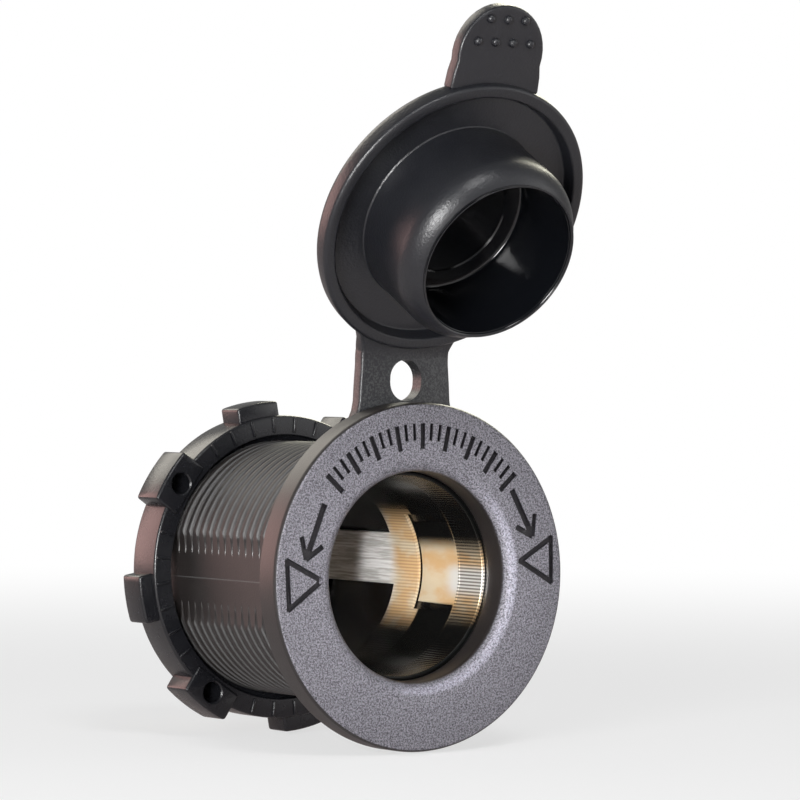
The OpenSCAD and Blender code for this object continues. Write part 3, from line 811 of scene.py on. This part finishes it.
def light_world():
    """White to the camera; in reflections white ahead of the face and dimmer elsewhere."""
    world = bpy.data.worlds.new("studio")
    bpy.context.scene.world = world
    world.use_nodes = True
    nodes, links = world.node_tree.nodes, world.node_tree.links

    def maths(operation, first, second):
        made = nodes.new("ShaderNodeMath")
        made.operation = operation
        for socket, value in zip(made.inputs, (first, second)):
            if isinstance(value, bpy.types.NodeSocket):
                links.new(value, socket)
            else:
                socket.default_value = value
        return made.outputs[0]

    path = nodes.new("ShaderNodeLightPath").outputs
    ahead = nodes.new("ShaderNodeVectorMath")
    ahead.operation = "DOT_PRODUCT"
    links.new(nodes.new("ShaderNodeTexCoord").outputs["Generated"], ahead.inputs[0])
    ahead.inputs[1].default_value = (0.568, -0.823, 0.0)
    spread = nodes.new("ShaderNodeMapRange")
    spread.interpolation_type = "SMOOTHSTEP"
    links.new(ahead.outputs["Value"], spread.inputs["Value"])
    for name, value in (("From Min", 0.5), ("From Max", 0.95), ("To Min", 0.3), ("To Max", 1.0)):
        spread.inputs[name].default_value = value
    mirrored = maths("MAXIMUM", path["Is Glossy Ray"], path["Is Transmission Ray"])
    shown = maths("MULTIPLY", mirrored, spread.outputs[0])
    plain = maths("MULTIPLY", maths("SUBTRACT", 1.0, mirrored), 0.25)
    background = nodes["Background"]
    background.inputs[0].default_value = WHITE
    links.new(maths("MAXIMUM", path["Is Camera Ray"], maths("ADD", shown, plain)),
              background.inputs[1])


def lamp(name, place, size, watts, colour=(1, 1, 1), only_gloss=False):
    data = bpy.data.lights.new(name, "AREA")
    data.shape, data.size, data.energy, data.color = "DISK", size, watts, colour
    obj = bpy.data.objects.new(name, data)
    obj.location = place
    obj.visible_diffuse = not only_gloss
    aim = Vector((0, 0, 0.01)) - Vector(place)
    obj.rotation_euler = aim.to_track_quat("-Z", "Y").to_euler()
    bpy.context.scene.collection.objects.link(obj)


def bore_light(place, aim, watts, cone):
    """A narrow soft beam through the mouth onto the sleeve's far wall."""
    data = bpy.data.lights.new("bore_light", "SPOT")
    data.energy, data.spot_size = watts, radians(cone)
    data.spot_blend, data.shadow_soft_size = 1, 0.012
    obj = bpy.data.objects.new("bore_light", data)
    obj.location = place
    obj.rotation_euler = (Vector(aim) - Vector(place)).to_track_quat("-Z", "Y").to_euler()
    bpy.context.scene.collection.objects.link(obj)


stage_floor()
light_world()
lamp("key", (-0.32, -0.25, 0.04), 0.16, 2.3)
bore_light((-0.21, -0.25, 0.004), (0.0105, 0.011, -0.0004), 10.5, 4.9)
lamp("top_light", (-0.15, -0.5, 0.5), 0.22, 1.5)
lamp("right", (0.5, -0.35, 0.1), 0.3, 0.25)
lamp("brown_reflection", (-0.45, 0.6, 0.1), 0.6, 3.2, (1.0, 0.60, 0.55), True)
lamp("olive_reflection", (-0.1, 0.55, 0.5), 0.5, 2.4, (0.95, 0.90, 0.80), True)
lamp("back_reflection", (0.5, 0.38, 0.45), 0.4, 4.0, (0.95, 0.92, 0.75), True)
bpy.context.scene.view_settings.view_transform = "Standard"
